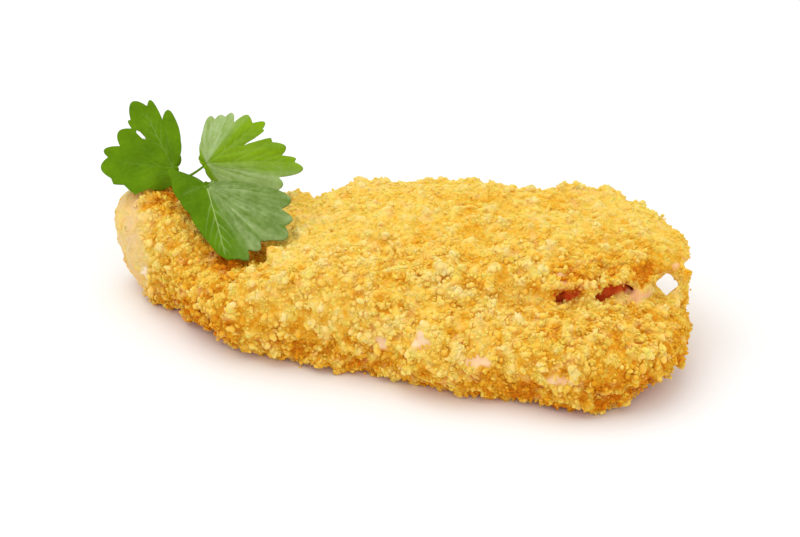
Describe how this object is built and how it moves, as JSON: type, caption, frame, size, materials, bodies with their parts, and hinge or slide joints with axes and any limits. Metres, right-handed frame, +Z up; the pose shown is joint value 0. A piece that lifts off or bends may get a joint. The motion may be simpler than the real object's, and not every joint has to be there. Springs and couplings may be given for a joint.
{
  "type": "cordon bleu",
  "caption": "Uncooked crumb-coated cutlet, folded round a slice of ham that shows in the mouth of its pocket, with a leaf of flat parsley laid on its thin end.",
  "frame": {"origin": "bottom centre of the bounding box, on the surface that the cutlet lies on", "axes": "+Z up, +X along the length towards the thick end, -Y towards the front, where the mouth of the pocket is"},
  "size_m": [0.1436, 0.0808, 0.0458],
  "materials": {
    "crumb_coating": "coarse dry crumbs, yellow to orange",
    "ham": "moist, dark pink-red",
    "leaf": "fresh green leaf, satin"
  },
  "bodies": {
    "root": {"cutlet": "crumb_coating", "ham": "ham", "parsley": "leaf"}
  },
  "joints": []
}
